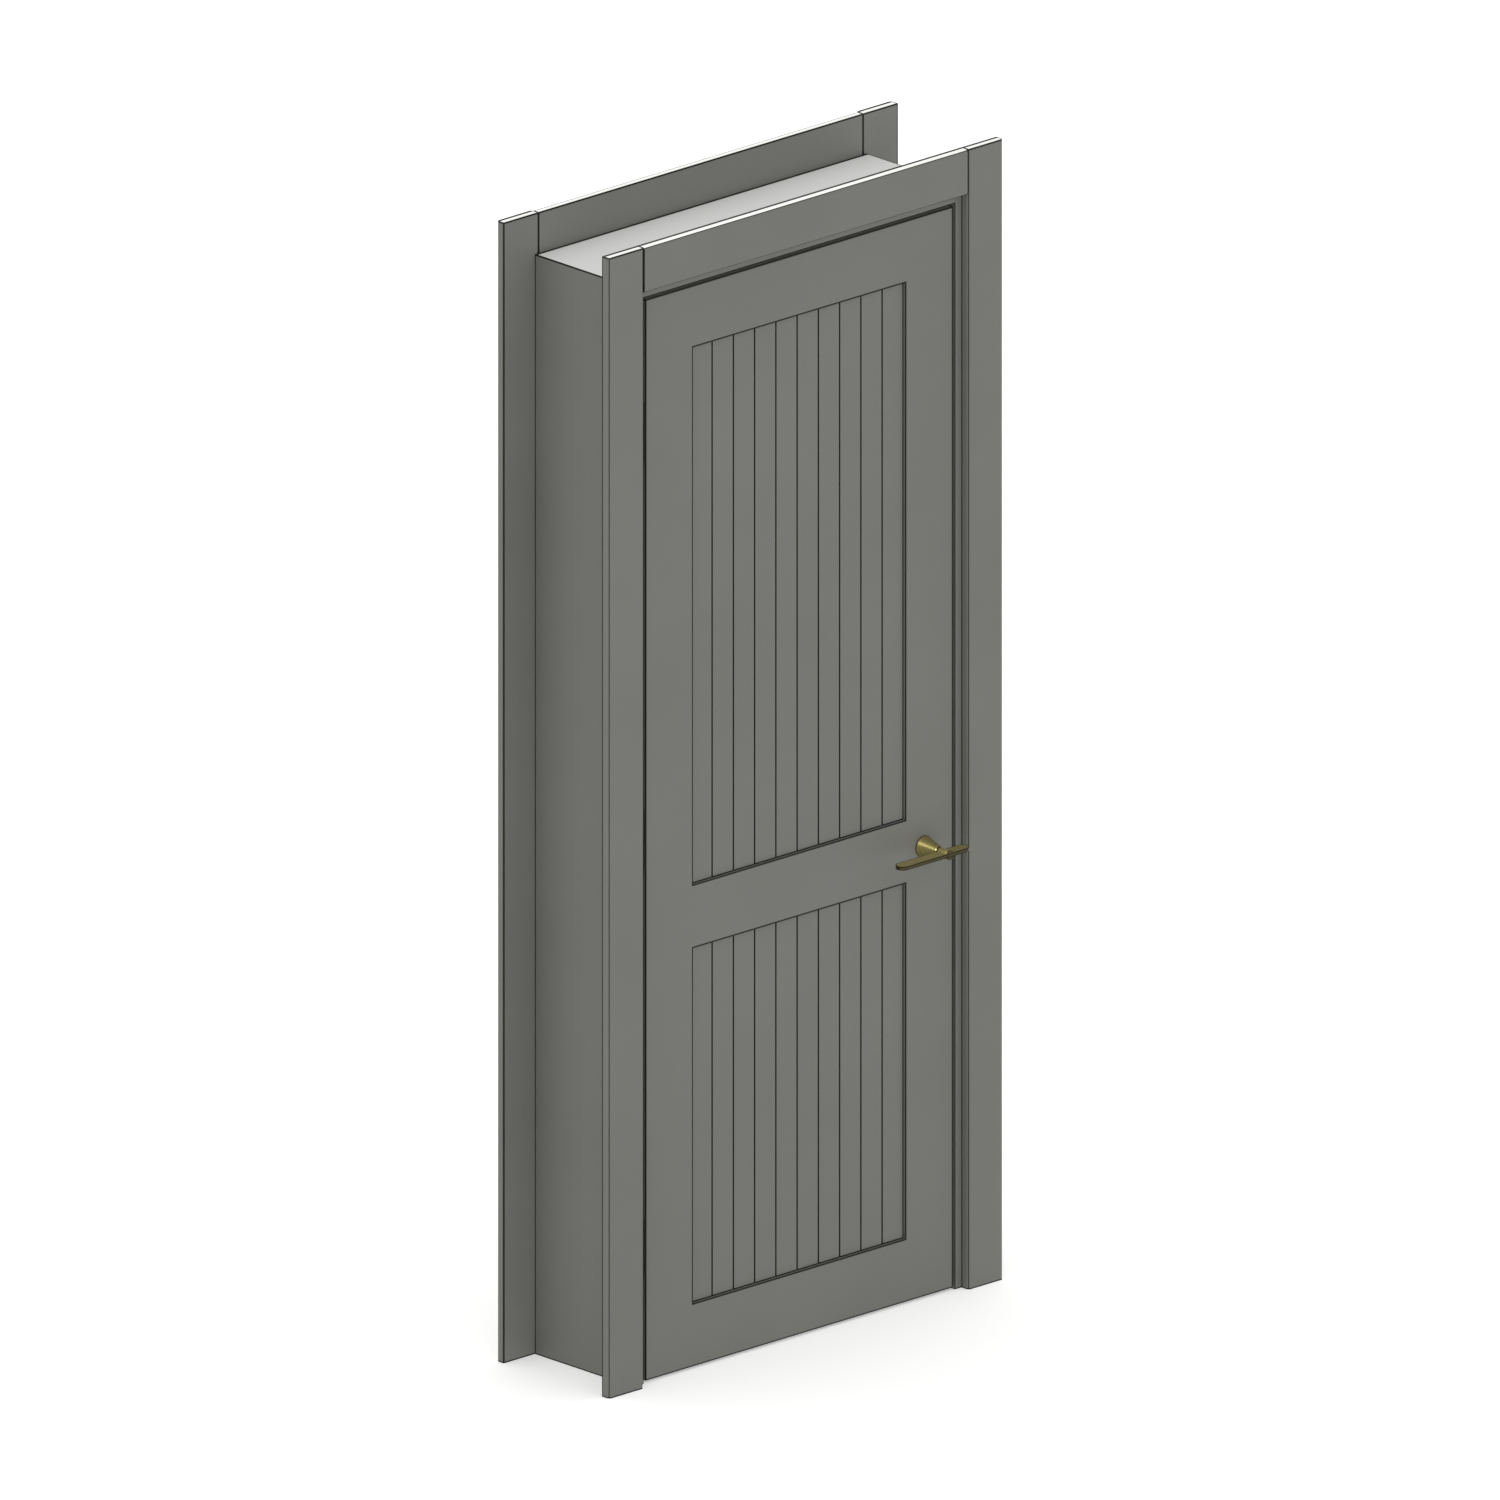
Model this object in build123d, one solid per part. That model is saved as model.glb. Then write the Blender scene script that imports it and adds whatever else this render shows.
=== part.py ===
"""Interior door set: a boarded two-panel leaf in a deep lining, with casings on both sides.

Millimetres. X runs along the wall to the lock side, Y through the wall from the front face
to the back face, Z up. The origin lies on the outer face of the hinge-side lining, at the
middle of the wall's thickness, at floor level. The leaf opens towards -Y.
"""
import math
import os
from build123d import *

# Lining
lining_width = 800
lining_height = 2030
wall_thickness = 250
lining_thickness = 25

# Casings
casing_width = 84
casing_thickness = 18
casing_reveal = 16
casing_arris_radius = 6

# Stops and seals
stop_thickness = 12
stop_depth = 35
seal_width = 8
seal_stand = 3
seal_root_width = 2.5
seal_root_depth = 6
seal_inset = 2

# Leaf
leaf_gap = 5
floor_gap = 5
leaf_thickness = 40
lock_edge_bevel = 1.4
stile_width = 114
top_rail_width = 114
lock_rail_width = 117
bottom_rail_width = 116
lower_panel_height = 656
stop_clearance = 5

# Boarded panels
boards = 10
panel_recess = 5
board_groove_width = 3.5
board_groove_depth = 5
tongue_thickness = 12
tongue_depth = 10

# Concealed hinges
hinge_end_distance = 245
hinge_axis_stand = 1.5
link_radius = 20
link_thickness = 5
link_height = 80
link_span_degrees = 130
link_clearance = 0.3
link_end_play_degrees = 2
hinge_case_width = 22
hinge_case_height = 124
hinge_case_depth = 21
hinge_front_margin = 3

# Handle
backset = 70
rose_radius = 20
rose_length = 41
neck_diameter = 17.5
neck_reach = 68
neck_gap = 0.3
stem_diameter = 11
stem_clearance = 0.3
stem_end = 2
lever_long_reach = 115
lever_short_reach = 53
lever_width = 25
lever_thickness = 6.5
lever_front_set_back = 0.5
spindle_side = 8
spindle_insertion = 30
spindle_bore_diameter = 20

# Latch and strike
latch_plate_width = 22
latch_plate_height = 58
latch_plate_thickness = 2
latch_bolt_width = 12
latch_bolt_height = 22
latch_bolt_length = 26
latch_bolt_nose = 9
latch_bolt_clearance = 0.5
strike_plate_width = 24
strike_plate_height = 64
strike_plate_thickness = 2
strike_hole_width = 15
strike_hole_height = 26
strike_pocket_depth = 14

# Planes and edges worked out from the sizes above
front_wall = -wall_thickness / 2
back_wall = wall_thickness / 2
clear_left = lining_thickness
clear_right = lining_width - lining_thickness
clear_top = lining_height - lining_thickness
leaf_left = clear_left + leaf_gap
leaf_right = clear_right - leaf_gap
leaf_bottom = floor_gap
leaf_top = clear_top - leaf_gap
leaf_front = front_wall
leaf_back = leaf_front + leaf_thickness
leaf_middle = (leaf_front + leaf_back) / 2
panel_left = leaf_left + stile_width
panel_right = leaf_right - stile_width
lower_panel_bottom = leaf_bottom + bottom_rail_width
lower_panel_top = lower_panel_bottom + lower_panel_height
upper_panel_bottom = lower_panel_top + lock_rail_width
upper_panel_top = leaf_top - top_rail_width
handle_x = leaf_right - backset
handle_z = (lower_panel_top + upper_panel_bottom) / 2
hinge_axis_x = clear_left + leaf_gap / 2
hinge_axis_y = leaf_front - hinge_axis_stand
hinge_heights = {
    "bottom": leaf_bottom + hinge_end_distance,
    "middle": (leaf_bottom + leaf_top) / 2,
    "top": leaf_top - hinge_end_distance,
}


def block(x, y, z):
    """Box between the low and high values given for each axis."""
    size = Box(x[1] - x[0], y[1] - y[0], z[1] - z[0])
    return Pos(sum(x) / 2, sum(y) / 2, sum(z) / 2) * size


def plate_from_front(points, y):
    """Polygon of (X, Z) points, as seen from the front, given thickness from y[0] to y[1]."""
    outline = Plane.XZ * make_face(Polyline(*points, close=True))
    return Pos(0, y[1], 0) * extrude(outline, y[1] - y[0])


def post_from_plan(points, z):
    """Polygon of (X, Y) points, as seen from above, raised from z[0] to z[1]."""
    outline = make_face(Polyline(*points, close=True))
    return Pos(0, 0, z[0]) * extrude(outline, z[1] - z[0])


def slot_through_x(x, y_middle, z_middle, width, height):
    """Round-ended upright prism that runs along X, width in Y and height in Z."""
    outline = Plane.YZ * SlotOverall(height, width, rotation=90)
    return Pos(x[0], y_middle, z_middle) * extrude(outline, x[1] - x[0])


def lining_boards():
    """Three boards mitred at the top corners, with room for the hinges and the strike."""
    depth = (front_wall, back_wall)
    left = plate_from_front(
        [(0, 0), (clear_left, 0), (clear_left, clear_top), (0, lining_height)], depth)
    right = plate_from_front(
        [(lining_width, 0), (lining_width, lining_height), (clear_right, clear_top), (clear_right, 0)],
        depth)
    head = plate_from_front(
        [(clear_left, clear_top), (clear_right, clear_top), (lining_width, lining_height),
         (0, lining_height)], depth)
    for height in hinge_heights.values():
        left -= hinge_case_body("frame", height)
    right -= strike_blank()
    right -= strike_pocket()
    return {"lining_left": left, "lining_right": right, "lining_head": head}


def casing_post(inner, outer, wall_face, room_face, z):
    """Upright casing between two X edges, with both arrises on the room side rounded."""
    body = block(sorted((inner, outer)), sorted((wall_face, room_face)), z)
    arrises = body.edges().filter_by(Axis.Z).filter_by_position(Axis.Y, room_face, room_face)
    return fillet(arrises, casing_arris_radius)


def casing_rail(x, z, wall_face, room_face):
    """Head casing that butts between the uprights, rounded along its two room-side arrises."""
    body = block(x, sorted((wall_face, room_face)), z)
    arrises = body.edges().filter_by(Axis.X).filter_by_position(Axis.Y, room_face, room_face)
    return fillet(arrises, casing_arris_radius)


def casing_set(side):
    """Two uprights and a head, the same on the front and on the back of the wall."""
    wall_face = front_wall if side == "front" else back_wall
    outward = -1 if side == "front" else 1
    room_face = wall_face + outward * casing_thickness
    left_inner = clear_left - casing_reveal
    right_inner = clear_right + casing_reveal
    head_bottom = clear_top + casing_reveal
    head_top = head_bottom + casing_width
    upright = (0, head_top)
    return {
        f"{side}_casing_left": casing_post(
            left_inner, left_inner - casing_width, wall_face, room_face, upright),
        f"{side}_casing_right": casing_post(
            right_inner, right_inner + casing_width, wall_face, room_face, upright),
        f"{side}_casing_head": casing_rail(
            (left_inner, right_inner), (head_bottom, head_top), wall_face, room_face),
    }


def stops_and_seals():
    """Stop strips behind the leaf, each kerfed along its front face for a rubber seal.

    The seal has a flat bead that stands out towards the leaf and a root that fills the kerf.
    """
    seal_face = leaf_back + stop_clearance
    stop_front = seal_face + seal_stand
    stop_back = stop_front + stop_depth
    stop_depths = (stop_front, stop_back)
    bead_depths = (seal_face, stop_front)
    root_depths = (stop_front, stop_front + seal_root_depth)
    below_head = clear_top - stop_thickness
    bead_out = stop_thickness - seal_inset
    bead_in = bead_out - seal_width
    root_in = bead_in + (seal_width - seal_root_width) / 2
    root_out = root_in + seal_root_width

    def upright_seal(edge, side):
        """Bead and root of an upright seal, measured from one lining's inner face."""
        bead = sorted((edge + side * bead_in, edge + side * bead_out))
        root = sorted((edge + side * root_in, edge + side * root_out))
        height = (0, below_head)
        return block(bead, bead_depths, height), block(root, root_depths, height)

    pieces = {}
    for name, edge, side in (("left", clear_left, 1), ("right", clear_right, -1)):
        bead, root = upright_seal(edge, side)
        strip = block(sorted((edge, edge + side * stop_thickness)), stop_depths, (0, clear_top))
        pieces[f"stop_{name}"] = strip - root
        pieces[f"seal_{name}"] = bead + root
    across = (clear_left + stop_thickness, clear_right - stop_thickness)
    head_bead = block(across, bead_depths, (clear_top - bead_out, clear_top - bead_in))
    head_root = block(across, root_depths, (clear_top - root_out, clear_top - root_in))
    head_strip = block(across, stop_depths, (below_head, clear_top))
    pieces["stop_head"] = head_strip - head_root
    pieces["seal_head"] = head_bead + head_root
    return pieces


def hinge_case_range(owner):
    """X range of a hinge body let into the lining or into the leaf's edge."""
    if owner == "frame":
        return (clear_left - hinge_case_depth, clear_left)
    return (leaf_left, leaf_left + hinge_case_depth)


def hinge_case_body(owner, height):
    """Round-ended block that fills its mortise in the lining or in the hinge stile."""
    y_middle = leaf_front + hinge_front_margin + hinge_case_width / 2
    return slot_through_x(hinge_case_range(owner), y_middle, height, hinge_case_width,
                          hinge_case_height)


def arc_band(inner, outer, start_degrees, end_degrees, height, middle):
    """Part of an upright ring about the hinge axis, between two directions seen from above."""
    ring = Cylinder(outer, height) - Cylinder(inner, height)
    reach = 2 * outer
    half = math.radians((end_degrees - start_degrees) / 2)
    centre = math.radians((end_degrees + start_degrees) / 2)
    corners = [(0, 0)]
    for turn in (-half, -half / 3, half / 3, half):
        corners.append((reach * math.cos(centre + turn), reach * math.sin(centre + turn)))
    wedge = post_from_plan(corners, (-height, height))
    return Pos(hinge_axis_x, hinge_axis_y, middle) * (ring & wedge)


def hinge_set(name, height):
    """Body in the lining, body in the leaf, and the curved link that slides in both.

    The link is part of a ring about the axis. It turns half as far as the leaf, so it leaves
    both bodies by the same amount and still bridges them when the door stands open.
    """
    start = 90 - link_span_degrees / 2
    end = 90 + link_span_degrees / 2
    inner = link_radius - link_thickness / 2
    outer = link_radius + link_thickness / 2
    link = arc_band(inner, outer, start, end, link_height, height)
    channel = arc_band(
        inner - link_clearance, outer + link_clearance, start - link_end_play_degrees,
        end + link_end_play_degrees, link_height + 2 * link_clearance, height)
    return {
        f"hinge_frame_case_{name}": hinge_case_body("frame", height) - channel,
        f"hinge_leaf_case_{name}": hinge_case_body("leaf", height) - channel,
        f"hinge_link_{name}": link,
    }


def leaf_blank(z, edge_inset=0):
    """The leaf's plan shape, raised over a range of heights, its lock edge bevelled."""
    right = leaf_right - edge_inset
    return post_from_plan(
        [(leaf_left, leaf_front), (right, leaf_front), (right - lock_edge_bevel, leaf_back),
         (leaf_left, leaf_back)], z)


def tongue_depths():
    """Y range of the tongues, in the middle of the leaf's thickness."""
    return (leaf_middle - tongue_thickness / 2, leaf_middle + tongue_thickness / 2)


def stiles():
    """Full-height uprights with a groove along the inner edge for rails and panels."""
    whole = leaf_blank((leaf_bottom, leaf_top))
    height = (leaf_bottom, leaf_top)
    depth = (leaf_front, leaf_back)
    hinge_side = whole & block((leaf_left, panel_left), depth, height)
    hinge_side -= block((panel_left - tongue_depth, panel_left), tongue_depths(), height)
    for middle in hinge_heights.values():
        hinge_side -= hinge_case_body("leaf", middle)
    lock_side = whole & block((panel_right, leaf_right), depth, height)
    lock_side -= block((panel_right, panel_right + tongue_depth), tongue_depths(), height)
    lock_side -= latch_plate_blank()
    lock_side -= latch_pocket()
    lock_side -= spindle_bore()
    return {"hinge_stile": hinge_side, "lock_stile": lock_side}


def rail(z, groove_below, groove_above):
    """Rail between the stiles with stub tenons, grooved along the edges that hold a panel."""
    body = block((panel_left, panel_right), (leaf_front, leaf_back), z)
    body += block((panel_left - tongue_depth, panel_right + tongue_depth), tongue_depths(), z)
    across = (panel_left - tongue_depth, panel_right + tongue_depth)
    if groove_below:
        body -= block(across, tongue_depths(), (z[0], z[0] + tongue_depth))
    if groove_above:
        body -= block(across, tongue_depths(), (z[1] - tongue_depth, z[1]))
    return body


def rails():
    """Bottom, lock and top rail."""
    return {
        "bottom_rail": rail((leaf_bottom, lower_panel_bottom), False, True),
        "lock_rail": rail((lower_panel_top, upper_panel_bottom), True, True),
        "top_rail": rail((upper_panel_top, leaf_top), True, False),
    }


def boarded_panel(z):
    """Panel set back from both faces, tongued all round, grooved between its boards.

    Each groove is straight-sided for half of its depth and runs to a point below that.
    """
    front = leaf_front + panel_recess
    back = leaf_back - panel_recess
    field = block((panel_left, panel_right), (front, back), z)
    tongue = block((panel_left - tongue_depth, panel_right + tongue_depth), tongue_depths(),
                   (z[0] - tongue_depth, z[1] + tongue_depth))
    body = field + tongue
    board_width = (panel_right - panel_left) / boards
    half = board_groove_width / 2
    for joint in range(1, boards):
        middle = panel_left + joint * board_width
        for face, inward in ((front, 1), (back, -1)):
            shoulder = face + inward * board_groove_depth / 2
            point = face + inward * board_groove_depth
            body -= post_from_plan(
                [(middle - half, face), (middle - half, shoulder), (middle, point),
                 (middle + half, shoulder), (middle + half, face)], z)
    return body


def panels():
    """The tall upper panel and the shorter lower one."""
    return {
        "lower_panel": boarded_panel((lower_panel_bottom, lower_panel_top)),
        "upper_panel": boarded_panel((upper_panel_bottom, upper_panel_top)),
    }


def spindle_bore():
    """Round hole through the lock stile for the spindle."""
    bore = Cylinder(spindle_bore_diameter / 2, leaf_thickness, rotation=(90, 0, 0))
    return Pos(handle_x, leaf_middle, handle_z) * bore


def latch_plate_blank():
    """Round-ended plate let into the bevelled lock edge, flush with it."""
    reach = (leaf_right - stile_width / 2, leaf_right + leaf_gap)
    upright = slot_through_x(reach, leaf_middle, handle_z, latch_plate_width, latch_plate_height)
    heights = (handle_z - latch_plate_height, handle_z + latch_plate_height)
    skin = leaf_blank(heights) - leaf_blank(heights, latch_plate_thickness)
    return skin & upright


def latch_hole(clearance, x):
    """Rectangular prism of the bolt's section with a clearance all round."""
    half_width = latch_bolt_width / 2 + clearance
    half_height = latch_bolt_height / 2 + clearance
    return block(x, (leaf_middle - half_width, leaf_middle + half_width),
                 (handle_z - half_height, handle_z + half_height))


def latch_bolt_back():
    """X of the inner end of the bolt, which seats on the bottom of its pocket."""
    return leaf_right - lock_edge_bevel - latch_bolt_length


def latch_pocket():
    """Pocket behind the latch plate in which the bolt slides."""
    return latch_hole(latch_bolt_clearance, (latch_bolt_back(), leaf_right))


def latch():
    """Plate and bolt, the bolt drawn back so that its nose is flush with the plate.

    The nose slopes on the side that meets the strike first when the door closes.
    """
    plate = latch_plate_blank() - latch_pocket()
    bolt = latch_hole(0, (latch_bolt_back(), leaf_right)) & leaf_blank((0, lining_height))
    side = leaf_middle + latch_bolt_width / 2
    tip = leaf_right - lock_edge_bevel
    heights = (handle_z - latch_bolt_height, handle_z + latch_bolt_height)
    bolt -= post_from_plan(
        [(tip - latch_bolt_nose, side), (leaf_right, side - latch_bolt_width), (leaf_right, side)],
        heights)
    return {"latch_plate": plate, "latch_bolt": bolt}


def strike_blank():
    """Round-ended plate let flush into the lock-side lining."""
    return slot_through_x((clear_right, clear_right + strike_plate_thickness), leaf_middle,
                          handle_z, strike_plate_width, strike_plate_height)


def strike_pocket():
    """Mouth in the strike plate and the pocket behind it that the latch bolt enters."""
    half_width = strike_hole_width / 2
    half_height = strike_hole_height / 2
    return block((clear_right, clear_right + strike_pocket_depth),
                 (leaf_middle - half_width, leaf_middle + half_width),
                 (handle_z - half_height, handle_z + half_height))


def strike():
    """Strike plate with its mouth."""
    return {"strike_plate": strike_blank() - strike_pocket()}


def turned(profile):
    """Solid of revolution about the handle's axis.

    The profile's points are (radius, distance out from the leaf's front face).
    """
    solid = revolve(make_face(Polyline(*profile, close=True)), Axis.Y)
    return Pos(handle_x, leaf_front, handle_z) * mirror(solid, Plane.XZ)


def across_leaf(solid):
    """The same piece on the leaf's other face."""
    return mirror(solid, Plane.XZ.offset(-leaf_middle))


def rose():
    """Plain cone from the leaf's face to the neck, bored for the stem of the lever."""
    bore = stem_diameter / 2 + stem_clearance
    return turned([(bore, 0), (rose_radius, 0), (neck_diameter / 2, rose_length),
                   (bore, rose_length)])


def lever():
    """Round neck, the flat bar that crosses it, and the stem inside the rose, cast in one."""
    neck_start = rose_length + neck_gap
    neck_radius = neck_diameter / 2
    stem_radius = stem_diameter / 2
    core = turned([(0, stem_end), (stem_radius, stem_end), (stem_radius, neck_start),
                   (neck_radius, neck_start), (neck_radius, neck_reach), (0, neck_reach)])
    length = lever_long_reach + lever_short_reach
    bar_middle = handle_x + (lever_short_reach - lever_long_reach) / 2
    bar_y = leaf_front - neck_reach + lever_front_set_back + lever_width / 2
    outline = Pos(bar_middle, bar_y) * SlotOverall(length, lever_width)
    bar = Pos(0, 0, handle_z - lever_thickness / 2) * extrude(outline, lever_thickness)
    return core + bar - spindle_bar()


def spindle_bar():
    """Square bar that joins the two levers through the leaf."""
    reach = (leaf_front - spindle_insertion, leaf_back + spindle_insertion)
    half = spindle_side / 2
    return block((handle_x - half, handle_x + half), reach, (handle_z - half, handle_z + half))


def handle():
    """Roses, levers and spindle."""
    front_rose = rose()
    front_lever = lever()
    return {
        "front_rose": front_rose,
        "back_rose": across_leaf(front_rose),
        "front_lever": front_lever,
        "back_lever": across_leaf(front_lever),
        "spindle": spindle_bar(),
    }


pieces = {}
pieces.update(lining_boards())
pieces.update(casing_set("front"))
pieces.update(casing_set("back"))
pieces.update(stops_and_seals())
pieces.update(strike())
pieces.update(stiles())
pieces.update(rails())
pieces.update(panels())
pieces.update(latch())
pieces.update(handle())
for hinge_name, hinge_height in hinge_heights.items():
    pieces.update(hinge_set(hinge_name, hinge_height))

os.makedirs("parts", exist_ok=True)
for node, shape in pieces.items():
    export_step(shape, f"parts/{node}.step")
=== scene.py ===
"""Looks of the interior door set: lacquer, brass, seals, screws, floor, light and camera."""
import math
import bmesh
import bpy
import numpy as np
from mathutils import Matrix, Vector


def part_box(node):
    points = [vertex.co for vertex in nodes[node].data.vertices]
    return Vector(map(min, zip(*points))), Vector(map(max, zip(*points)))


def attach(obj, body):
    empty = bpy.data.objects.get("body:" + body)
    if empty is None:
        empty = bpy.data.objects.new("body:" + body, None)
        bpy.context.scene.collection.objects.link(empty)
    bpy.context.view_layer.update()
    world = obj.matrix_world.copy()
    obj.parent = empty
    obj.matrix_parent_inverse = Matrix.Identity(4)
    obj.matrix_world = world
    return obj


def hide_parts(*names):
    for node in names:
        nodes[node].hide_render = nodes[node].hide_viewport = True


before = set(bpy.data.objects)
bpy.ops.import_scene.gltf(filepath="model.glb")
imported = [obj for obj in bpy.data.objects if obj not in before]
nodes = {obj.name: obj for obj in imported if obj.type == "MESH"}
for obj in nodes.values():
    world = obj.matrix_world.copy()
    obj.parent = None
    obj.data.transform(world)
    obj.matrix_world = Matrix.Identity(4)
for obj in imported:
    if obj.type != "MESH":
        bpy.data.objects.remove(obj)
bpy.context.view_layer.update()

MM = 0.001

# Camera: a parallel view from the front left and above; view_width is the frame's width in metres
view_azimuth = math.radians(-43.47)
view_elevation = math.radians(18.69)
view_target = Vector((0.4, 0.0, 1.0525))
view_width = 2.6228
view_distance = 9.0

# Colours
lacquer_dark = "#696A65"
lacquer_light = "#6D6E69"
# Painted light: a lighter grey for the wall sides of the casings, lifting the shade there
painted_fill_dark = "#757671"
painted_fill_light = "#797A75"
# Painted shade for the bottoms of the panel grooves
groove_painted_shade = "#161715"
# Dark lines; along the rims of the openings they are painted shade
line_colour = "#0E0E0D"
primer_white = "#F3F3F0"
# Painted shade: a duller white for the lining's top, which lies in more shade than the casings' tops
primer_painted_shade = "#CFCFCD"
brass_light = "#B9AD75"
brass_dark = "#ADA16A"
brass_turned_light = "#A1965F"
brass_turned_dark = "#958A56"
# Painted shade for the sides of the lever's bar and the end of its neck
brass_painted_shade = "#453F2A"
# Painted shade at the joints of the handles, also used for dark lines on the bar's arrises
line_and_painted_shade = "#151208"
zinc_light = "#A9AAA9"
zinc_dark = "#8F9090"
steel_light = "#C2C2C0"
steel_dark = "#AEAEAC"
rubber_dark = "#1B1B1B"
rubber_light = "#272726"
floor_white = "#F8F8F7"
white = "#FFFFFF"

# Light: a pale floor that glows a little, a sky brighter overhead, a soft sun from the front left,
# and a low sun on the handles alone
floor_size = 60.0
sky_low = 0.48
sky_high = 1.15
floor_glow = 0.2
sun_strength = 0.8
sun_spread = 25
sun_from = (-0.42, -0.62, 0.66)
handle_sun_strength = 3.4
handle_sun_spread = 8
handle_sun_from = (-0.75, -0.12, 0.65)
handle_nodes = ("front_rose", "front_lever", "back_rose", "back_lever")

# Width of the dark lines: beside a sharp arris or joint, along the back of a top, along the rim of
# a panel and of the lining, and along the joints and arrises of the handle
line_width = 2.8 * MM
top_line_width = 7 * MM
rim_line_width = 3 * MM
lining_rim_width = 1.8 * MM
handle_line_width = 1.7 * MM

# Sizes that the boxes of the frame's nodes don't give
bar_thick = 6.5 * MM
bar_radius = 12.5 * MM
bar_set_back = 0.5 * MM
primer_start = 10 * MM
primer_blend = 4 * MM
lock_edge_slope = 1.4 / 40
hinge_screw_radius = 3.6 * MM
hinge_screw_inset = 11 * MM
plate_screw_radius = 3.4 * MM
strike_screw_inset = 9 * MM
latch_screw_inset = 8 * MM
seal_stand = 3 * MM
seal_flange = 0.8 * MM
seal_bulb_share = 0.36


def place_camera():
    """Parallel camera that looks at the middle of the door set along the photograph's direction."""
    data = bpy.data.cameras.new("camera")
    data.type = "ORTHO"
    data.ortho_scale = view_width
    data.clip_end = 60.0
    camera = bpy.data.objects.new("camera", data)
    bpy.context.scene.collection.objects.link(camera)
    towards = Vector((
        math.sin(view_azimuth) * math.cos(view_elevation),
        -math.cos(view_azimuth) * math.cos(view_elevation),
        math.sin(view_elevation)))
    camera.location = view_target + towards * view_distance
    camera.rotation_euler = (-towards).to_track_quat("-Z", "Y").to_euler()
    bpy.context.scene.camera = camera


def linear(colour):
    """sRGB hex colour as linear red, green, blue and alpha."""
    parts = np.array([int(colour[i:i + 2], 16) for i in (1, 3, 5)]) / 255
    values = np.where(parts <= 0.04045, parts / 12.92, ((parts + 0.055) / 1.055) ** 2.4)
    return (*values.tolist(), 1.0)


def new_material(name):
    """New node material; returns the material, its tree and its shader."""
    material = bpy.data.materials.new(name)
    material.use_nodes = True
    tree = material.node_tree
    return material, tree, tree.nodes["Principled BSDF"]


def add(tree, kind, settings=None, inputs=None, links=None):
    """Adds a node: settings are its properties, inputs its socket values, links its sources."""
    node = tree.nodes.new(kind)
    for key, value in (settings or {}).items():
        setattr(node, key, value)
    for key, value in (inputs or {}).items():
        node.inputs[key].default_value = value
    for key, source in (links or {}).items():
        tree.links.new(source, node.inputs[key])
    return node


def per_metre(size_mm):
    """Scale of a pattern whose features are size_mm across."""
    return 1 / (size_mm * MM)


def mottled(tree, pattern, dark, light):
    """Colour between two hex colours, where the pattern runs from 0.3 to 0.7."""
    share = add(tree, "ShaderNodeMapRange", inputs={"From Min": 0.3, "From Max": 0.7},
                links={"Value": pattern})
    return add(tree, "ShaderNodeMix", {"data_type": "RGBA"}, {6: linear(dark), 7: linear(light)},
               {0: share.outputs["Result"]}).outputs[2]


def painted_over(tree, colour, mask, top_colour):
    """The colour, covered by another where the mask is 1."""
    return add(tree, "ShaderNodeMix", {"data_type": "RGBA"}, {7: linear(top_colour)},
               {0: mask, 6: colour}).outputs[2]


def beyond(tree, value, start, end):
    """Mask that rises smoothly from 0 where the value is start to 1 where it is end."""
    return add(tree, "ShaderNodeMapRange", {"interpolation_type": "SMOOTHSTEP"},
               {"From Min": start, "From Max": end}, {"Value": value}).outputs["Result"]


def distance(tree, value, target):
    """|value - target|, for a value worked out by nodes and a fixed target."""
    apart = add(tree, "ShaderNodeMath", {"operation": "SUBTRACT"}, {1: target}, {0: value})
    return add(tree, "ShaderNodeMath", {"operation": "ABSOLUTE"}, links={0: apart.outputs[0]}).outputs[0]


def near(tree, value, target, half_width):
    """Mask of the places where the value lies within half_width of the target."""
    return beyond(tree, distance(tree, value, target), half_width, 0.7 * half_width)


def combined(tree, operation, values):
    """Running maximum, minimum or product of several values."""
    result = values[0]
    for value in values[1:]:
        result = add(tree, "ShaderNodeMath", {"operation": operation},
                     links={0: result, 1: value}).outputs[0]
    return result


def beyond_faces(tree, place, lowest, highest):
    """Distance outside each pair of a box's faces along X, Y and Z, negative inside."""
    centre = [(a + b) / 2 for a, b in zip(lowest, highest)]
    half = [(b - a) / 2 for a, b in zip(lowest, highest)]
    moved = add(tree, "ShaderNodeVectorMath", {"operation": "SUBTRACT"}, {1: centre}, {0: place})
    folded = add(tree, "ShaderNodeVectorMath", {"operation": "ABSOLUTE"}, links={0: moved.outputs[0]})
    out = add(tree, "ShaderNodeVectorMath", {"operation": "SUBTRACT"}, {1: half},
              {0: folded.outputs[0]})
    parts = add(tree, "ShaderNodeSeparateXYZ", links={"Vector": out.outputs[0]})
    return [parts.outputs[axis] for axis in "XYZ"]


def arris_line(tree, place, lowest, highest):
    """Mask of a box's sharp arrises: where the second nearest face lies within the line's width.

    With d the distances beyond the faces, the second nearest is
    min(max(dx, dy), max(min(dx, dy), dz)). A rounded arris lies further in and gets no line,
    and nor does any point outside the box, where the largest of the three is above 0.
    """
    across, deep, up = beyond_faces(tree, place, lowest, highest)
    outside = combined(tree, "MAXIMUM", [across, deep, up])
    larger = combined(tree, "MAXIMUM", [across, deep])
    smaller = combined(tree, "MINIMUM", [across, deep])
    second = combined(tree, "MINIMUM", [larger, combined(tree, "MAXIMUM", [smaller, up])])
    return combined(tree, "MULTIPLY", [
        beyond(tree, second, -line_width, -0.7 * line_width),
        beyond(tree, outside, 0.4 * MM, 0.2 * MM)])


def rim_line(tree, place, lowest, highest, width):
    """Mask of the rim of an opening through the Y faces: near its outline and near a face.

    The outline is where max(dx, dz) is 0, and a face is where dy is 0.
    """
    across, deep, up = beyond_faces(tree, place, lowest, highest)
    outline = combined(tree, "MAXIMUM", [across, up])
    return combined(tree, "MULTIPLY", [near(tree, outline, 0.0, width),
                                       near(tree, deep, 0.0, 0.5 * width)])


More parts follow.
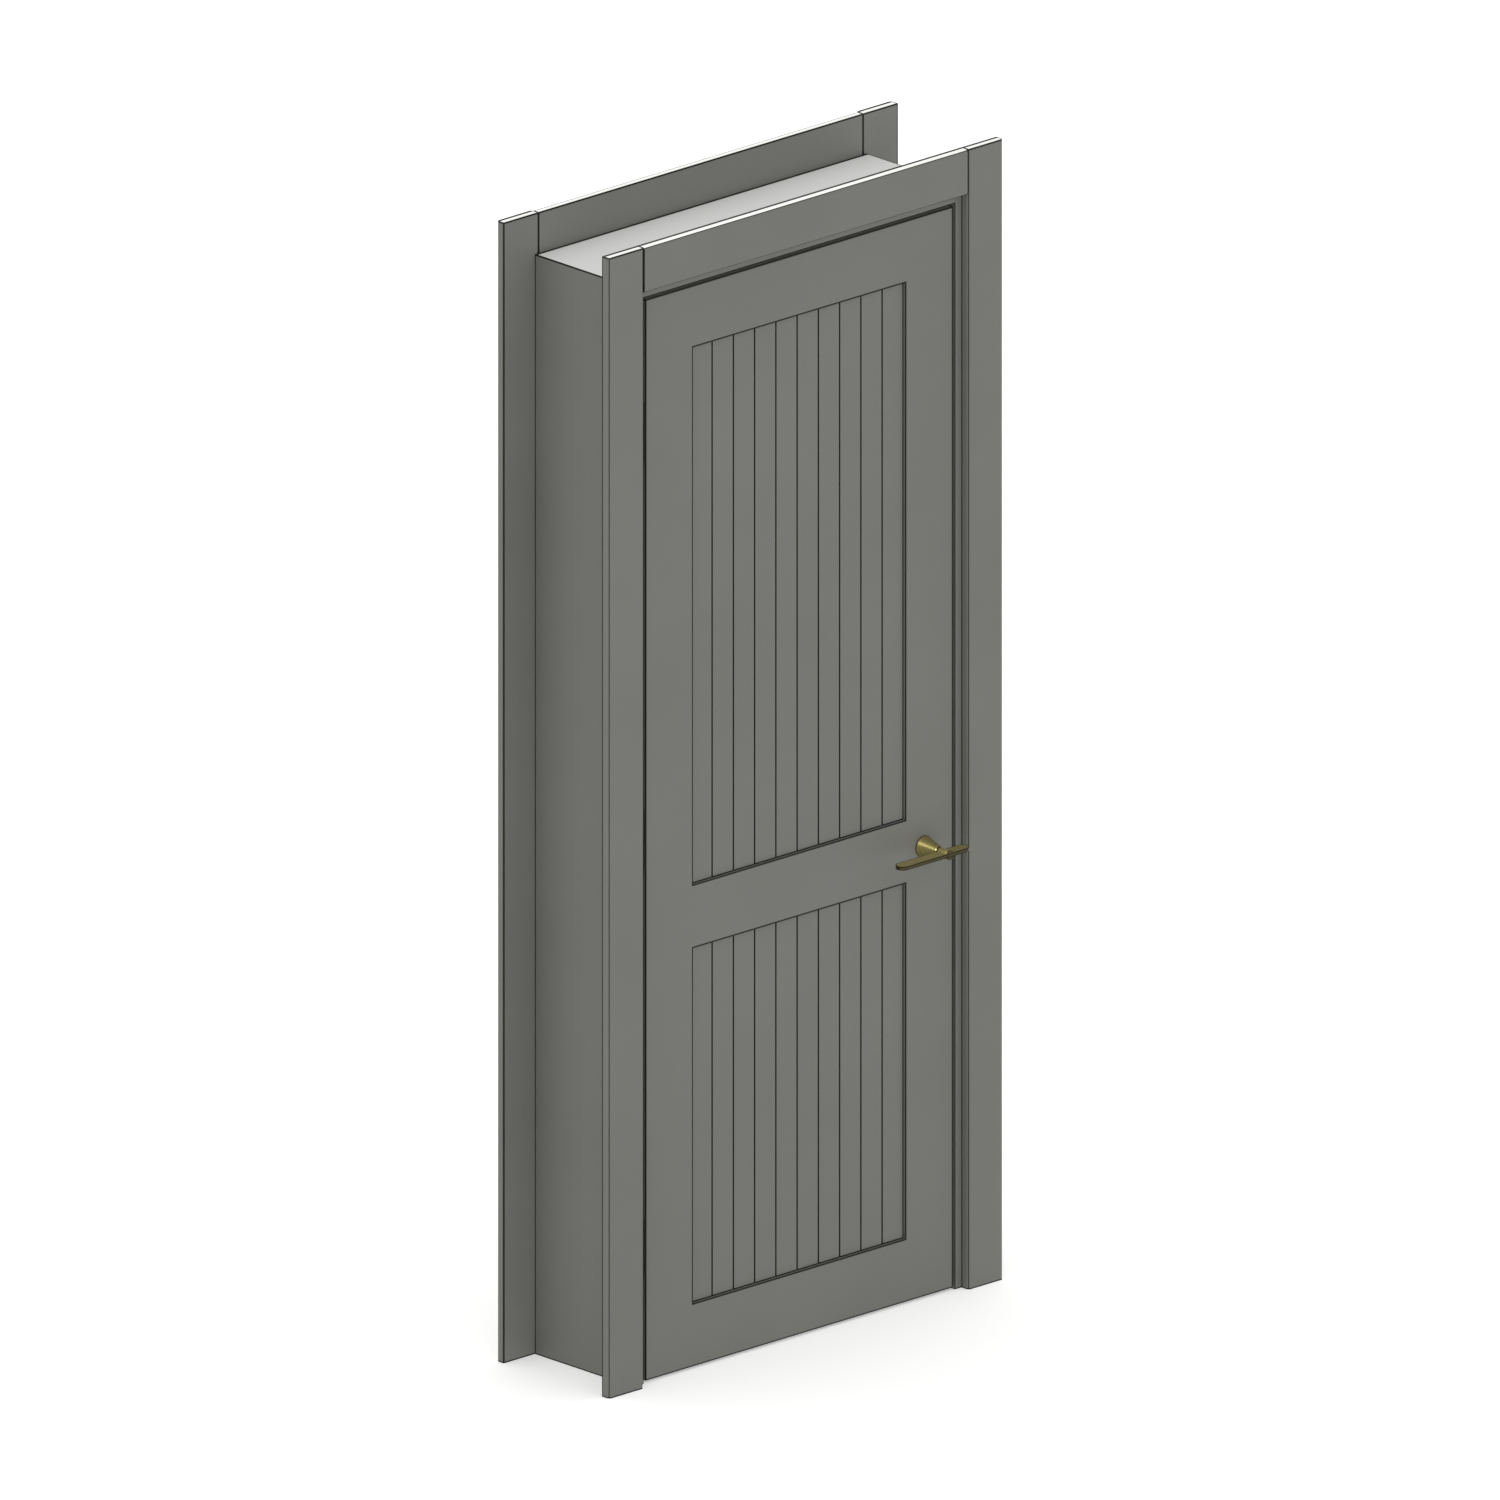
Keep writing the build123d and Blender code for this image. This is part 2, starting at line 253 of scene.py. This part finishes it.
def top_back_line(tree, place, back_faces):
    """Mask of the strip of a top just in front of one of the back faces, given by their Y."""
    deep = add(tree, "ShaderNodeSeparateXYZ", links={"Vector": place}).outputs["Y"]
    strips = [combined(tree, "MULTIPLY", [
        beyond(tree, deep, back - top_line_width, back - 0.8 * top_line_width),
        beyond(tree, deep, back + 0.6 * MM, back + 0.4 * MM)]) for back in back_faces]
    return combined(tree, "MAXIMUM", strips)


def sprayed_lacquer(name, boxes=(), openings=(), grooves=False, primer=None, back_faces=(),
                    wall_sides=()):
    """Satin pigmented lacquer sprayed on MDF, whose specular level is set low to keep it soft.

    Orange peel 2.4 mm across breaks up the highlight, and a cloud 300 mm across shifts the
    tone a little as uneven spray does. Sharp arrises of the boxes and rims of the openings read
    as fine dark lines, as in the picture; the rim lines are painted shade for the recesses and
    gaps beside them. The grooves are painted darker with depth: painted shade. Faces that look up
    at the top of the frame are still in white primer, with a dark line along their back faces.
    The wall sides, given by their Y, are painted lighter: painted light that lifts the shade in
    the corner by the lining.
    """
    material, tree, shader = new_material(name)
    place = add(tree, "ShaderNodeTexCoord").outputs["Object"]
    parts = add(tree, "ShaderNodeSeparateXYZ", links={"Vector": place})
    cloud = add(tree, "ShaderNodeTexNoise", inputs={"Scale": per_metre(300), "Detail": 3.0},
                links={"Vector": place})
    colour = mottled(tree, cloud.outputs["Fac"], lacquer_dark, lacquer_light)
    if grooves:
        # Painted shade: the grooves get darker with depth below the panel's face
        depth = distance(tree, parts.outputs["Y"], leaf_middle)
        groove_shade_mask = beyond(tree, depth, panel_half - 0.3 * MM, panel_half - 1.2 * MM)
        colour = painted_over(tree, colour, groove_shade_mask, groove_painted_shade)
    if wall_sides:
        # Painted light: the wall sides get a lighter grey that lifts the shade in the corner by the
        # lining
        hidden = combined(tree, "MAXIMUM", [near(tree, parts.outputs["Y"], side, 0.4 * MM)
                                            for side in wall_sides])
        painted_fill = mottled(tree, cloud.outputs["Fac"], painted_fill_dark, painted_fill_light)
        colour = add(tree, "ShaderNodeMix", {"data_type": "RGBA"},
                     links={0: hidden, 6: colour, 7: painted_fill}).outputs[2]
    lines = [arris_line(tree, place, *box) for box in boxes]
    # Painted shade: the dark lines along the rims of the openings stand in for the shade in the recesses
    # and gaps beside them
    lines += [rim_line(tree, place, *opening) for opening in openings]
    if primer:
        facing = add(tree, "ShaderNodeNewGeometry")
        lift = add(tree, "ShaderNodeSeparateXYZ", links={"Vector": facing.outputs["Normal"]})
        lowest = clear_top + primer_start
        primed = combined(tree, "MULTIPLY", [
            beyond(tree, lift.outputs["Z"], 0.62, 0.78),
            beyond(tree, parts.outputs["Z"], lowest, lowest + primer_blend)])
        colour = painted_over(tree, colour, primed, primer)
        lines.append(combined(tree, "MULTIPLY", [primed, top_back_line(tree, place, back_faces)]))
    if lines:
        colour = painted_over(tree, colour, combined(tree, "MAXIMUM", lines), line_colour)
    tree.links.new(colour, shader.inputs["Base Color"])
    peel = add(tree, "ShaderNodeTexNoise", inputs={"Scale": per_metre(2.4), "Detail": 2.0},
               links={"Vector": place})
    rough = add(tree, "ShaderNodeMapRange", inputs={"To Min": 0.4, "To Max": 0.5},
                links={"Value": cloud.outputs["Fac"]})
    tree.links.new(rough.outputs["Result"], shader.inputs["Roughness"])
    bump = add(tree, "ShaderNodeBump", inputs={"Strength": 0.25, "Distance": 0.05 * MM},
               links={"Height": peel.outputs["Fac"]})
    tree.links.new(bump.outputs["Normal"], shader.inputs["Normal"])
    shader.inputs["IOR"].default_value = 1.49
    shader.inputs["Specular IOR Level"].default_value = 0.2
    return material


def handle_painted_shade(tree, place, colour):
    """Brass with painted shade: the bar's sides and the neck's end are darker, as under light from
    above, dark rings at the joints stand in for their shade, and the bar's arrises get dark lines. In
    plan the bar is a slot: with x the distance along it from its middle, l half the length of its
    straight sides, m its own middle out from the leaf and w its end radius, its edge is where
    hypot(max(x - l, 0), r - m) is near w. An arris is there too, near the bar's top or bottom face.
    """
    parts = add(tree, "ShaderNodeSeparateXYZ", links={"Vector": place})
    out = distance(tree, parts.outputs["Y"], leaf_middle)
    along = distance(tree, parts.outputs["X"], bar_middle)
    level = distance(tree, parts.outputs["Z"], handle_height)
    past_end = add(tree, "ShaderNodeMath", {"operation": "SUBTRACT"}, {1: bar_half - bar_radius},
                   {0: along})
    past_end = add(tree, "ShaderNodeMath", {"operation": "MAXIMUM"}, {1: 0.0},
                   {0: past_end.outputs[0]})
    sideways = add(tree, "ShaderNodeMath", {"operation": "SUBTRACT"}, {1: bar_out}, {0: out})
    flat = add(tree, "ShaderNodeCombineXYZ", links={"X": past_end.outputs[0],
                                                    "Y": sideways.outputs[0]})
    reach = add(tree, "ShaderNodeVectorMath", {"operation": "LENGTH"},
                links={0: flat.outputs[0]}).outputs["Value"]
    half_thick = bar_thick / 2
    in_bar = beyond(tree, level, half_thick + 0.4 * MM, half_thick + 0.2 * MM)
    edge = combined(tree, "MAXIMUM", [
        combined(tree, "MULTIPLY", [near(tree, reach, bar_radius, 0.6 * MM), in_bar]),
        beyond(tree, out, neck_end - 0.15 * MM, neck_end - 0.1 * MM)])
    # Painted shade: the bar's sides and the neck's end are darker than its top, as under light from
    # above
    colour = painted_over(tree, colour, edge, brass_painted_shade)
    arris = combined(tree, "MULTIPLY", [
        near(tree, reach, bar_radius, handle_line_width),
        beyond(tree, level, half_thick - 0.8 * handle_line_width, half_thick - 0.6 * handle_line_width),
        in_bar])
    neck_ring = combined(tree, "MULTIPLY", [
        near(tree, out, neck_end - 1.0 * MM, 0.9 * MM),
        beyond(tree, level, half_thick + 0.3 * MM, half_thick + 0.6 * MM)])
    # Painted shade: dark rings at the joints of rose and neck stand in for their shade; the bar's
    # arrises get plain dark lines
    rings = [near(tree, out, joint, handle_line_width) for joint in (rose_foot, rose_tip)]
    return painted_over(tree, colour, combined(tree, "MAXIMUM", [arris, neck_ring, *rings]), line_and_painted_shade)


def brushed_metal(name, light, dark, roughness, streak, grain_mm, handle=False):
    """Metal brushed one way: noise drawn out along the brushing shifts tone and roughness.

    streak is how much longer than wide the marks are along X, Y and Z. A handle also has painted
    shade on its sides, dark lines at its joints and arrises, and is a little less metallic all over.
    """
    material, tree, shader = new_material(name)
    place = add(tree, "ShaderNodeTexCoord").outputs["Object"]
    squeeze = tuple(1 / s for s in streak)
    drawn = add(tree, "ShaderNodeMapping", inputs={"Scale": squeeze}, links={"Vector": place})
    marks = add(tree, "ShaderNodeTexNoise", inputs={"Scale": per_metre(grain_mm), "Detail": 4.0},
                links={"Vector": drawn.outputs["Vector"]})
    colour = mottled(tree, marks.outputs["Fac"], dark, light)
    if handle:
        colour = handle_painted_shade(tree, place, colour)
    tree.links.new(colour, shader.inputs["Base Color"])
    rough = add(tree, "ShaderNodeMapRange",
                inputs={"To Min": roughness - 0.05, "To Max": roughness + 0.05},
                links={"Value": marks.outputs["Fac"]})
    tree.links.new(rough.outputs["Result"], shader.inputs["Roughness"])
    bump = add(tree, "ShaderNodeBump", inputs={"Strength": 0.15, "Distance": 0.02 * MM},
               links={"Height": marks.outputs["Fac"]})
    tree.links.new(bump.outputs["Normal"], shader.inputs["Normal"])
    shader.inputs["Metallic"].default_value = 0.9 if handle else 1.0
    return material


def seal_rubber():
    """Extruded rubber: matt near-black with fine pores 0.8 mm apart."""
    material, tree, shader = new_material("extruded rubber")
    place = add(tree, "ShaderNodeTexCoord").outputs["Object"]
    pores = add(tree, "ShaderNodeTexNoise", inputs={"Scale": per_metre(0.8), "Detail": 2.0},
                links={"Vector": place})
    colour = mottled(tree, pores.outputs["Fac"], rubber_dark, rubber_light)
    tree.links.new(colour, shader.inputs["Base Color"])
    bump = add(tree, "ShaderNodeBump", inputs={"Strength": 0.3, "Distance": 0.05 * MM},
               links={"Height": pores.outputs["Fac"]})
    tree.links.new(bump.outputs["Normal"], shader.inputs["Normal"])
    shader.inputs["Roughness"].default_value = 0.7
    shader.inputs["IOR"].default_value = 1.52
    return material


def low(node):
    """Lowest corner of a CAD node, in metres."""
    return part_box(node)[0]


def high(node):
    """Highest corner of a CAD node, in metres."""
    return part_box(node)[1]


# Planes of the door set in metres; those of the handle are distances out from the leaf's middle
clear_left = high("lining_left").x
clear_right = low("lining_right").x
clear_top = low("lining_head").z
leaf_front = low("hinge_stile").y
leaf_back = high("hinge_stile").y
leaf_middle = (leaf_front + leaf_back) / 2
panel_half = leaf_middle - low("upper_panel").y
rose_foot = leaf_back - leaf_middle
rose_tip = high("back_rose").y - leaf_middle
neck_end = high("back_lever").y - leaf_middle
handle_height = (low("front_rose").z + high("front_rose").z) / 2
bar_middle = (low("front_lever").x + high("front_lever").x) / 2
bar_half = (high("front_lever").x - low("front_lever").x) / 2
bar_out = neck_end - bar_set_back - bar_radius
leaf_box = (low("hinge_stile"), Vector((high("lock_stile").x, leaf_back, high("lock_stile").z)))
panel_left = high("hinge_stile").x
panel_right = low("lock_stile").x
lining_box = (low("lining_left"), high("lining_right"))


def finish_edges(piece, width_mm):
    """Small rounding of every arris sharper than 35 degrees, after welding loose points together."""
    weld = piece.modifiers.new("weld", "WELD")
    weld.merge_threshold = 1e-6
    bevel = piece.modifiers.new("arris", "BEVEL")
    bevel.width = width_mm * MM
    bevel.segments = 2
    bevel.limit_method = "ANGLE"
    bevel.angle_limit = math.radians(35)


def mesh_piece(name, points, faces, material, body):
    """New piece from an array of points and a list of faces, riding on a body."""
    mesh = bpy.data.meshes.new(name)
    mesh.from_pydata(points.reshape(-1, 3), [], faces)
    work = bmesh.new()
    work.from_mesh(mesh)
    bmesh.ops.remove_doubles(work, verts=work.verts, dist=1e-7)
    bmesh.ops.recalc_face_normals(work, faces=work.faces)
    work.to_mesh(mesh)
    work.free()
    mesh.shade_smooth()
    mesh.materials.append(material)
    piece = bpy.data.objects.new(name, mesh)
    bpy.context.scene.collection.objects.link(piece)
    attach(piece, body)
    return piece


def grid_faces(rows, columns, start=0):
    """Quads of a grid of points, row by row, whose last column is joined to its first."""
    index = start + np.arange(rows * columns).reshape(rows, columns)
    index = np.concatenate([index, index[:, :1]], axis=1)
    corners = (index[:-1, :-1], index[:-1, 1:], index[1:, 1:], index[1:, :-1])
    return np.stack(corners, axis=-1).reshape(-1, 4).tolist()


def screw_points(centre, outward, head_radius):
    """Countersunk head seen along outward: rings of points from the middle to the rim and down.

    The height over the seat is a shallow dome, rise * (1 - share^2), less the cross recess,
    which is where either coordinate is small near the middle.
    """
    rings, around = 15, 36
    seat, skirt_depth = 0.2 * MM, 0.9 * MM
    rise, arm, recess = 0.06 * head_radius, 0.13 * head_radius, 0.35 * head_radius
    share = np.linspace(0, 1, rings)[:, None]
    turn = np.linspace(0, 2 * np.pi, around, endpoint=False)[None, :]
    across = head_radius * share * np.cos(turn)
    up = head_radius * share * np.sin(turn)
    inside = (np.minimum(abs(across), abs(up)) < arm) & (share < 0.62)
    height = seat + rise * (1 - share ** 2) - recess * inside
    axis = np.array(outward, float) / np.linalg.norm(outward)
    side = np.cross([0, 0, 1], axis)
    side = side / np.linalg.norm(side)
    over = np.cross(axis, side)
    head = across[..., None] * side + up[..., None] * over + height[..., None] * axis
    skirt = head[-1:] * 0.92 - skirt_depth * axis
    return np.array(centre) + np.concatenate([head, skirt])


def screws(name, centres, outward, head_radius, material, body):
    """One piece that holds several like screws, each head a grid closed by its last ring."""
    points, faces = [], []
    for centre in centres:
        cloud = screw_points(centre, outward, head_radius)
        rows, columns, _ = cloud.shape
        start = sum(len(p) for p in points)
        faces += grid_faces(rows, columns, start)
        faces.append([start + (rows - 1) * columns + i for i in range(columns)])
        points.append(cloud.reshape(-1, 3))
    mesh_piece(name, np.concatenate(points), faces, material, body)


def seal_strip(material):
    """Continuous seal along both stops and the head, mitred at the corners.

    The section is a flange with a D-shaped bulb, which stands out by
    (stand - flange) * sqrt(1 - c^2), with c the place across the bulb from -1 to 1. Each of the
    four rings is the section moved to a corner of the path.
    """
    left_low, left_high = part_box("seal_left")
    inner = left_low.x - clear_left
    outer = left_high.x - clear_left
    seat = left_low.y + seal_stand
    front = seat - seal_flange
    spread = np.linspace(-1, 1, 25)
    bulb_across = (inner + outer) / 2 + seal_bulb_share * (outer - inner) * spread
    bulb_out = front - (seal_stand - seal_flange) * np.sqrt(1 - spread ** 2)
    across = np.concatenate([[inner, inner], bulb_across, [outer, outer]])
    depth = np.concatenate([[seat, front], bulb_out, [front, seat]])
    top = clear_top - across
    floor = np.zeros_like(across)
    rings = np.stack([
        np.stack([clear_left + across, depth, floor], axis=-1),
        np.stack([clear_left + across, depth, top], axis=-1),
        np.stack([clear_right - across, depth, top], axis=-1),
        np.stack([clear_right - across, depth, floor], axis=-1)])
    count = len(across)
    faces = grid_faces(4, count)
    faces.append(list(range(count)))
    faces.append(list(range(3 * count, 4 * count)))
    strip = mesh_piece("seal_strip", rings, faces, material, "frame")
    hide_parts("seal_left", "seal_right", "seal_head")


def one_skin(name, sources, material, body, bevel_mm):
    """Pieces that are lacquered after assembly, joined so that no joint shows between them.

    The exact union of the sources' merged copies, with flat faces made whole again.
    """
    def merged_copy(source, label):
        work = bmesh.new()
        work.from_mesh(nodes[source].data)
        bmesh.ops.remove_doubles(work, verts=work.verts, dist=1e-6)
        mesh = bpy.data.meshes.new(label)
        work.to_mesh(mesh)
        work.free()
        if "custom_normal" in mesh.attributes:
            mesh.attributes.remove(mesh.attributes["custom_normal"])
        piece = bpy.data.objects.new(label, mesh)
        bpy.context.scene.collection.objects.link(piece)
        return piece

    base = merged_copy(sources[0], name)
    others = [merged_copy(source, "part") for source in sources[1:]]
    for other in others:
        union = base.modifiers.new("union", "BOOLEAN")
        union.operation = "UNION"
        union.solver = "EXACT"
        union.object = other
    seen = bpy.context.evaluated_depsgraph_get()
    mesh = bpy.data.meshes.new_from_object(base.evaluated_get(seen))
    base.modifiers.clear()
    base.data = mesh
    for other in others:
        bpy.data.objects.remove(other)
    work = bmesh.new()
    work.from_mesh(mesh)
    bmesh.ops.remove_doubles(work, verts=work.verts, dist=2e-6)
    bmesh.ops.dissolve_limit(work, angle_limit=math.radians(0.5), verts=work.verts, edges=work.edges)
    work.to_mesh(mesh)
    work.free()
    mesh.materials.clear()
    mesh.materials.append(material)
    finish_edges(base, bevel_mm)
    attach(base, body)
    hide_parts(*sources)


def dress(node, material, bevel_mm):
    """Gives a CAD node its material and the small rounding of its arrises."""
    piece = nodes[node]
    piece.data.materials.clear()
    piece.data.materials.append(material)
    finish_edges(piece, bevel_mm)


def floor_and_light():
    """Pale floor, a white sky that is brighter overhead, and one soft sun from the front left.

    The floor glows a little and the sun throws no shadow, so that the ground stays white.
    """
    mesh = bpy.data.meshes.new("floor")
    corners = np.array([[-1, -1, 0], [1, -1, 0], [1, 1, 0], [-1, 1, 0]]) * floor_size / 2
    mesh.from_pydata(corners.tolist(), [], [(0, 1, 2, 3)])
    floor = bpy.data.objects.new("floor", mesh)
    bpy.context.scene.collection.objects.link(floor)
    material, tree, shader = new_material("pale floor")
    shader.inputs["Base Color"].default_value = linear(floor_white)
    shader.inputs["Roughness"].default_value = 0.9
    shader.inputs["Emission Color"].default_value = linear(white)
    shader.inputs["Emission Strength"].default_value = floor_glow
    mesh.materials.append(material)
    world = bpy.data.worlds.new("sky")
    world.use_nodes = True
    tree = world.node_tree
    height = add(tree, "ShaderNodeSeparateXYZ",
                 links={"Vector": add(tree, "ShaderNodeTexCoord").outputs["Generated"]})
    glow = add(tree, "ShaderNodeMapRange", inputs={"To Min": sky_low, "To Max": sky_high},
               links={"Value": height.outputs["Z"]})
    tree.links.new(glow.outputs["Result"], tree.nodes["Background"].inputs["Strength"])
    tree.nodes["Background"].inputs["Color"].default_value = linear(white)
    bpy.context.scene.world = world
    lamp = bpy.data.lights.new("sun", "SUN")
    lamp.energy = sun_strength
    lamp.angle = math.radians(sun_spread)
    lamp.use_shadow = False
    sun = bpy.data.objects.new("sun", lamp)
    bpy.context.scene.collection.objects.link(sun)
    sun.rotation_euler = Vector(sun_from).to_track_quat("Z", "Y").to_euler()
    bpy.context.scene.view_settings.view_transform = "Standard"


def handle_light():
    """Sun that grazes the leaf from the upper left, linked to the handles alone.

    It gives the cone of the rose its highlight and leaves the lacquer as it is.
    """
    receivers = bpy.data.collections.new("handles")
    for node in handle_nodes:
        receivers.objects.link(nodes[node])
    lamp = bpy.data.lights.new("handle sun", "SUN")
    lamp.energy = handle_sun_strength
    lamp.angle = math.radians(handle_sun_spread)
    sun = bpy.data.objects.new("handle sun", lamp)
    bpy.context.scene.collection.objects.link(sun)
    sun.rotation_euler = Vector(handle_sun_from).to_track_quat("Z", "Y").to_euler()
    sun.light_linking.receiver_collection = receivers


place_camera()
floor_and_light()
handle_light()

casings = [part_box(node) for node in nodes if "casing" in node]
casing_backs = [high("front_casing_head").y, high("back_casing_head").y]
wall_sides = [high("front_casing_head").y, low("back_casing_head").y]
lining_opening = (Vector((clear_left, lining_box[0].y, -clear_top)),
                  Vector((clear_right, lining_box[1].y, clear_top)), lining_rim_width)
panel_heights = [(high("bottom_rail").z, low("lock_rail").z), (high("lock_rail").z, low("top_rail").z)]
leaf_openings = [(Vector((panel_left, leaf_front, z0)), Vector((panel_right, leaf_back, z1)),
                  rim_line_width) for z0, z1 in panel_heights]
panel_rims = [(Vector((panel_left, leaf_middle - panel_half, z0)),
               Vector((panel_right, leaf_middle + panel_half, z1)),
               rim_line_width) for z0, z1 in panel_heights]

# Casings: soft grey with fine dark arrises, a wall side painted lighter as painted light against the
# shade by the lining, and a clean white top edge
casing_lacquer = sprayed_lacquer("satin lacquer on MDF casing", casings, primer=primer_white,
                                 back_faces=casing_backs, wall_sides=wall_sides)
# Lining: the same grey, and a duller white top: painted shade that makes it darker than the casings'
# tops
lining_lacquer = sprayed_lacquer("satin lacquer on MDF lining", [lining_box], [lining_opening],
                                 primer=primer_painted_shade, back_faces=[lining_box[1].y])
# Stops: the grey alone, since they lie in the shade behind the leaf
stop_lacquer = sprayed_lacquer("satin lacquer on MDF stop")
# Leaf: one even skin over stiles and rails, with a dark line round its edge and its openings
leaf_lacquer = sprayed_lacquer("satin lacquer on MDF leaf", [leaf_box], leaf_openings)
# Panels: the grooves between the boards are painted dark with depth, as painted shade, and read as dark
# lines
panel_lacquer = sprayed_lacquer("satin lacquer on grooved MDF", openings=panel_rims, grooves=True)
# Lever: pale yellow along the bar, with brushing lengthwise, and its sides painted darker as painted
# shade
lever_brass = brushed_metal("satin brass lever", brass_light, brass_dark, 0.34, (14, 1, 1), 0.5, True)
# Rose: deeper and shinier, with turning marks that run round it more than along it, and painted shade
# rings at its foot and tip
rose_brass = brushed_metal("satin brass turned", brass_turned_light, brass_turned_dark, 0.28,
                           (14, 1, 14), 0.5, True)
# Latch and strike plates: even brass brushed up and down, with none of the handles' painted shade and
# lines
plate_brass = brushed_metal("brushed brass plate", brass_light, brass_dark, 0.36, (1, 1, 16), 0.4)
# Hinges: cool grey with a soft sheen
zinc = brushed_metal("satin zinc die casting", zinc_light, zinc_dark, 0.38, (1, 1, 6), 0.5)
# Bolt, spindle and hinge screws: the brightest metal on the door
steel = brushed_metal("bright steel", steel_light, steel_dark, 0.24, (1, 8, 1), 0.4)
rubber = seal_rubber()

# Part of a node's name, its material and the rounding of its arrises in millimetres
finishes = (
    ("casing", casing_lacquer, 0.5),
    ("lining", lining_lacquer, 0.5),
    ("stop", stop_lacquer, 0.5),
    ("panel", panel_lacquer, 0.3),
    ("lever", lever_brass, 0.7),
    ("rose", rose_brass, 0.4),
    ("plate", plate_brass, 0.3),
    ("hinge_frame", zinc, 0.4),
    ("hinge_leaf", zinc, 0.4),
    ("hinge_link", zinc, 0.4),
    ("latch_bolt", steel, 0.4),
    ("spindle", steel, 0.4))
for node in nodes:
    for part, material, rounding in finishes:
        if part in node:
            dress(node, material, rounding)

one_skin("leaf_frame", ["hinge_stile", "lock_stile", "top_rail", "lock_rail", "bottom_rail"],
         leaf_lacquer, "door_leaf", 1.0)
seal_strip(rubber)

for place in ("bottom", "middle", "top"):
    for owner, body, direction in (("frame", "frame", 1), ("leaf", "door_leaf", -1)):
        case = f"hinge_{owner}_case_{place}"
        lowest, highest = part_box(case)
        face = highest.x if owner == "frame" else lowest.x
        across = (lowest.y + highest.y) / 2
        centres = [(face, across, z)
                   for z in (lowest.z + hinge_screw_inset, highest.z - hinge_screw_inset)]
        screws(case + "_screws", centres, (direction, 0, 0), hinge_screw_radius, steel, body)

lowest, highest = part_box("strike_plate")
centres = [(lowest.x, (lowest.y + highest.y) / 2, z)
           for z in (lowest.z + strike_screw_inset, highest.z - strike_screw_inset)]
screws("strike_plate_screws", centres, (-1, 0, 0), plate_screw_radius, plate_brass, "frame")

lowest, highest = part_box("latch_plate")
edge = high("lock_stile").x - lock_edge_slope * (leaf_middle - leaf_front)
centres = [(edge, leaf_middle, z)
           for z in (lowest.z + latch_screw_inset, highest.z - latch_screw_inset)]
screws("latch_plate_screws", centres, (1, lock_edge_slope, 0), plate_screw_radius, plate_brass,
       "door_leaf")
